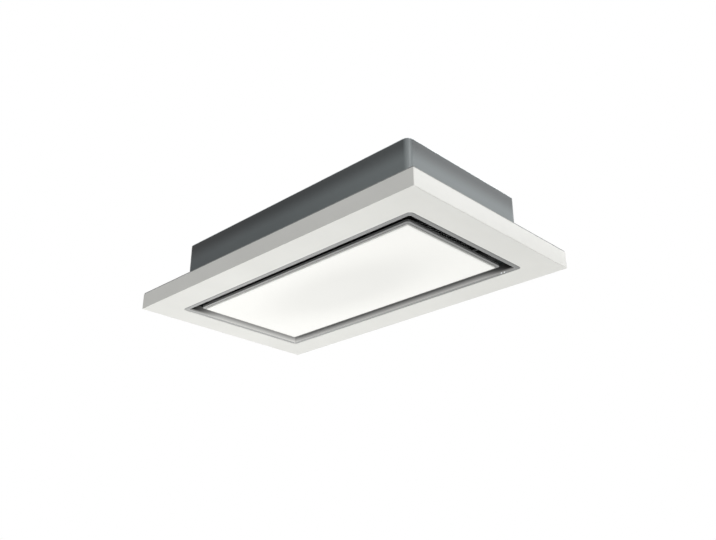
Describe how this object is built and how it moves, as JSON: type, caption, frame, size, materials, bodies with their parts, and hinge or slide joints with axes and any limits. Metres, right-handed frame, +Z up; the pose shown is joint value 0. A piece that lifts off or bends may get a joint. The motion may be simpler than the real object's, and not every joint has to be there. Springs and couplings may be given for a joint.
{
  "type": "ceiling range hood",
  "caption": "Recessed ceiling hood with a white surround, a lit drop-down panel, perimeter suction gap, grease filters, blower and side outlet.",
  "frame": {"origin": "centre of the ceiling plane, which the surround's sealing strip meets; the casing stands above it in the ceiling void and the surround hangs 57 mm below it", "axes": "+Z up into the ceiling void, +X along the hood's length away from the outlet collar, +Y towards the hinged side of the lit panel"},
  "size_m": [1.2, 0.7, 0.2638],
  "materials": {
    "white_enamel": "satin white enamel",
    "seal_foam": "closed-cell foam",
    "grey_enamel": "satin grey enamel",
    "brushed_steel": "brushed",
    "zinc_steel": "galvanised sheet",
    "black_enamel": "matt black enamel",
    "opal_acrylic": "satin opal",
    "aluminium": "mill",
    "black_plastic": "fine moulded grain",
    "grey_plastic": "fine moulded grain",
    "clear_lens": "clear moulded",
    "circuit_board": "solder mask",
    "turned_steel": "turned"
  },
  "bodies": {
    "root": {"surround_frame": "white_enamel", "ceiling_seal": "seal_foam", "casing_wall": "grey_enamel", "casing_lid": "zinc_steel", "intake_trim": "brushed_steel", "indicator_lens_left": "clear_lens", "indicator_lens_right": "clear_lens", "indicator_board": "circuit_board", "filter_deck": "black_enamel", "scroll_housing": "zinc_steel", "scroll_cover": "zinc_steel", "inlet_ring": "zinc_steel", "motor": "zinc_steel", "discharge_duct": "zinc_steel", "outlet_collar": "black_plastic", "damper_pin": "turned_steel", "control_box": "zinc_steel", "control_box_cover": "zinc_steel", "led_driver": "grey_plastic", "cable_gland": "grey_plastic", "frame_clamp_rear_left": "zinc_steel", "hanger_rear_left": "zinc_steel", "frame_clamp_rear_right": "zinc_steel", "hanger_rear_right": "zinc_steel", "frame_clamp_front_left": "zinc_steel", "hanger_front_left": "zinc_steel", "frame_clamp_front_right": "zinc_steel", "hanger_front_right": "zinc_steel", "hinge_bracket_left": "zinc_steel", "catch_magnet_left": "black_plastic", "hinge_bracket_right": "zinc_steel", "catch_magnet_right": "black_plastic"},
    "panel": {"diffuser": "opal_acrylic", "panel_tray": "brushed_steel", "panel_back_cover": "zinc_steel", "led_strip_left": "aluminium", "led_strip_right": "aluminium", "hinge_arm_left": "zinc_steel", "hinge_arm_right": "zinc_steel", "hinge_pin_left": "turned_steel", "hinge_pin_right": "turned_steel", "catch_plate_left": "zinc_steel", "catch_plate_right": "zinc_steel"},
    "impeller": {"impeller": "black_plastic", "motor_shaft": "turned_steel"},
    "damper_rear": {"damper_flap_rear": "aluminium"},
    "damper_front": {"damper_flap_front": "aluminium"},
    "filter_1": {"filter_1_frame": "aluminium", "filter_1_mesh": "aluminium"},
    "latch_1": {"filter_1_latch": "black_plastic"},
    "filter_2": {"filter_2_frame": "aluminium", "filter_2_mesh": "aluminium"},
    "latch_2": {"filter_2_latch": "black_plastic"},
    "filter_3": {"filter_3_frame": "aluminium", "filter_3_mesh": "aluminium"},
    "latch_3": {"filter_3_latch": "black_plastic"}
  },
  "joints": [
    {"name": "panel_hinge", "type": "hinge", "parent": "root", "child": "panel", "pos_m": [0, 0.196, -0.027], "axis": [1, 0, 0], "range_deg": [0, 90]},
    {"name": "filter_1_tilt", "type": "hinge", "parent": "root", "child": "filter_1", "pos_m": [-0.308, 0.143, -0.0105], "axis": [1, 0, 0], "range_deg": [0, 45]},
    {"name": "filter_2_tilt", "type": "hinge", "parent": "root", "child": "filter_2", "pos_m": [0, 0.143, -0.0105], "axis": [1, 0, 0], "range_deg": [0, 45]},
    {"name": "filter_3_tilt", "type": "hinge", "parent": "root", "child": "filter_3", "pos_m": [0.308, 0.143, -0.0105], "axis": [1, 0, 0], "range_deg": [0, 45]},
    {"name": "latch_1_slide", "type": "slide", "parent": "filter_1", "child": "latch_1", "axis": [0, 1, 0], "range_m": [0, 0.007], "stiffness_N_per_m": 300, "springref_m": -0.003},
    {"name": "latch_2_slide", "type": "slide", "parent": "filter_2", "child": "latch_2", "axis": [0, 1, 0], "range_m": [0, 0.007], "stiffness_N_per_m": 300, "springref_m": -0.003},
    {"name": "latch_3_slide", "type": "slide", "parent": "filter_3", "child": "latch_3", "axis": [0, 1, 0], "range_m": [0, 0.007], "stiffness_N_per_m": 300, "springref_m": -0.003},
    {"name": "impeller_spin", "type": "hinge", "parent": "root", "child": "impeller", "pos_m": [-0.06, 0, 0.09], "axis": [0, 0, 1], "continuous": true},
    {"name": "damper_rear_swing", "type": "hinge", "parent": "root", "child": "damper_rear", "pos_m": [-0.482, 0.1141, 0.0913], "axis": [0, 0, 1], "range_deg": [0, 78], "stiffness_Nm_per_rad": 0.03, "springref_deg": -20.05},
    {"name": "damper_front_swing", "type": "hinge", "parent": "root", "child": "damper_front", "pos_m": [-0.482, 0.1141, 0.0913], "axis": [0, 0, -1], "range_deg": [0, 78], "stiffness_Nm_per_rad": 0.03, "springref_deg": -20.05}
  ],
  "couplings": [
    {"joint": "filter_1_tilt", "follows": "panel_hinge", "ratio": 0.5},
    {"joint": "filter_2_tilt", "follows": "panel_hinge", "ratio": 0.5},
    {"joint": "filter_3_tilt", "follows": "panel_hinge", "ratio": 0.5}
  ]
}
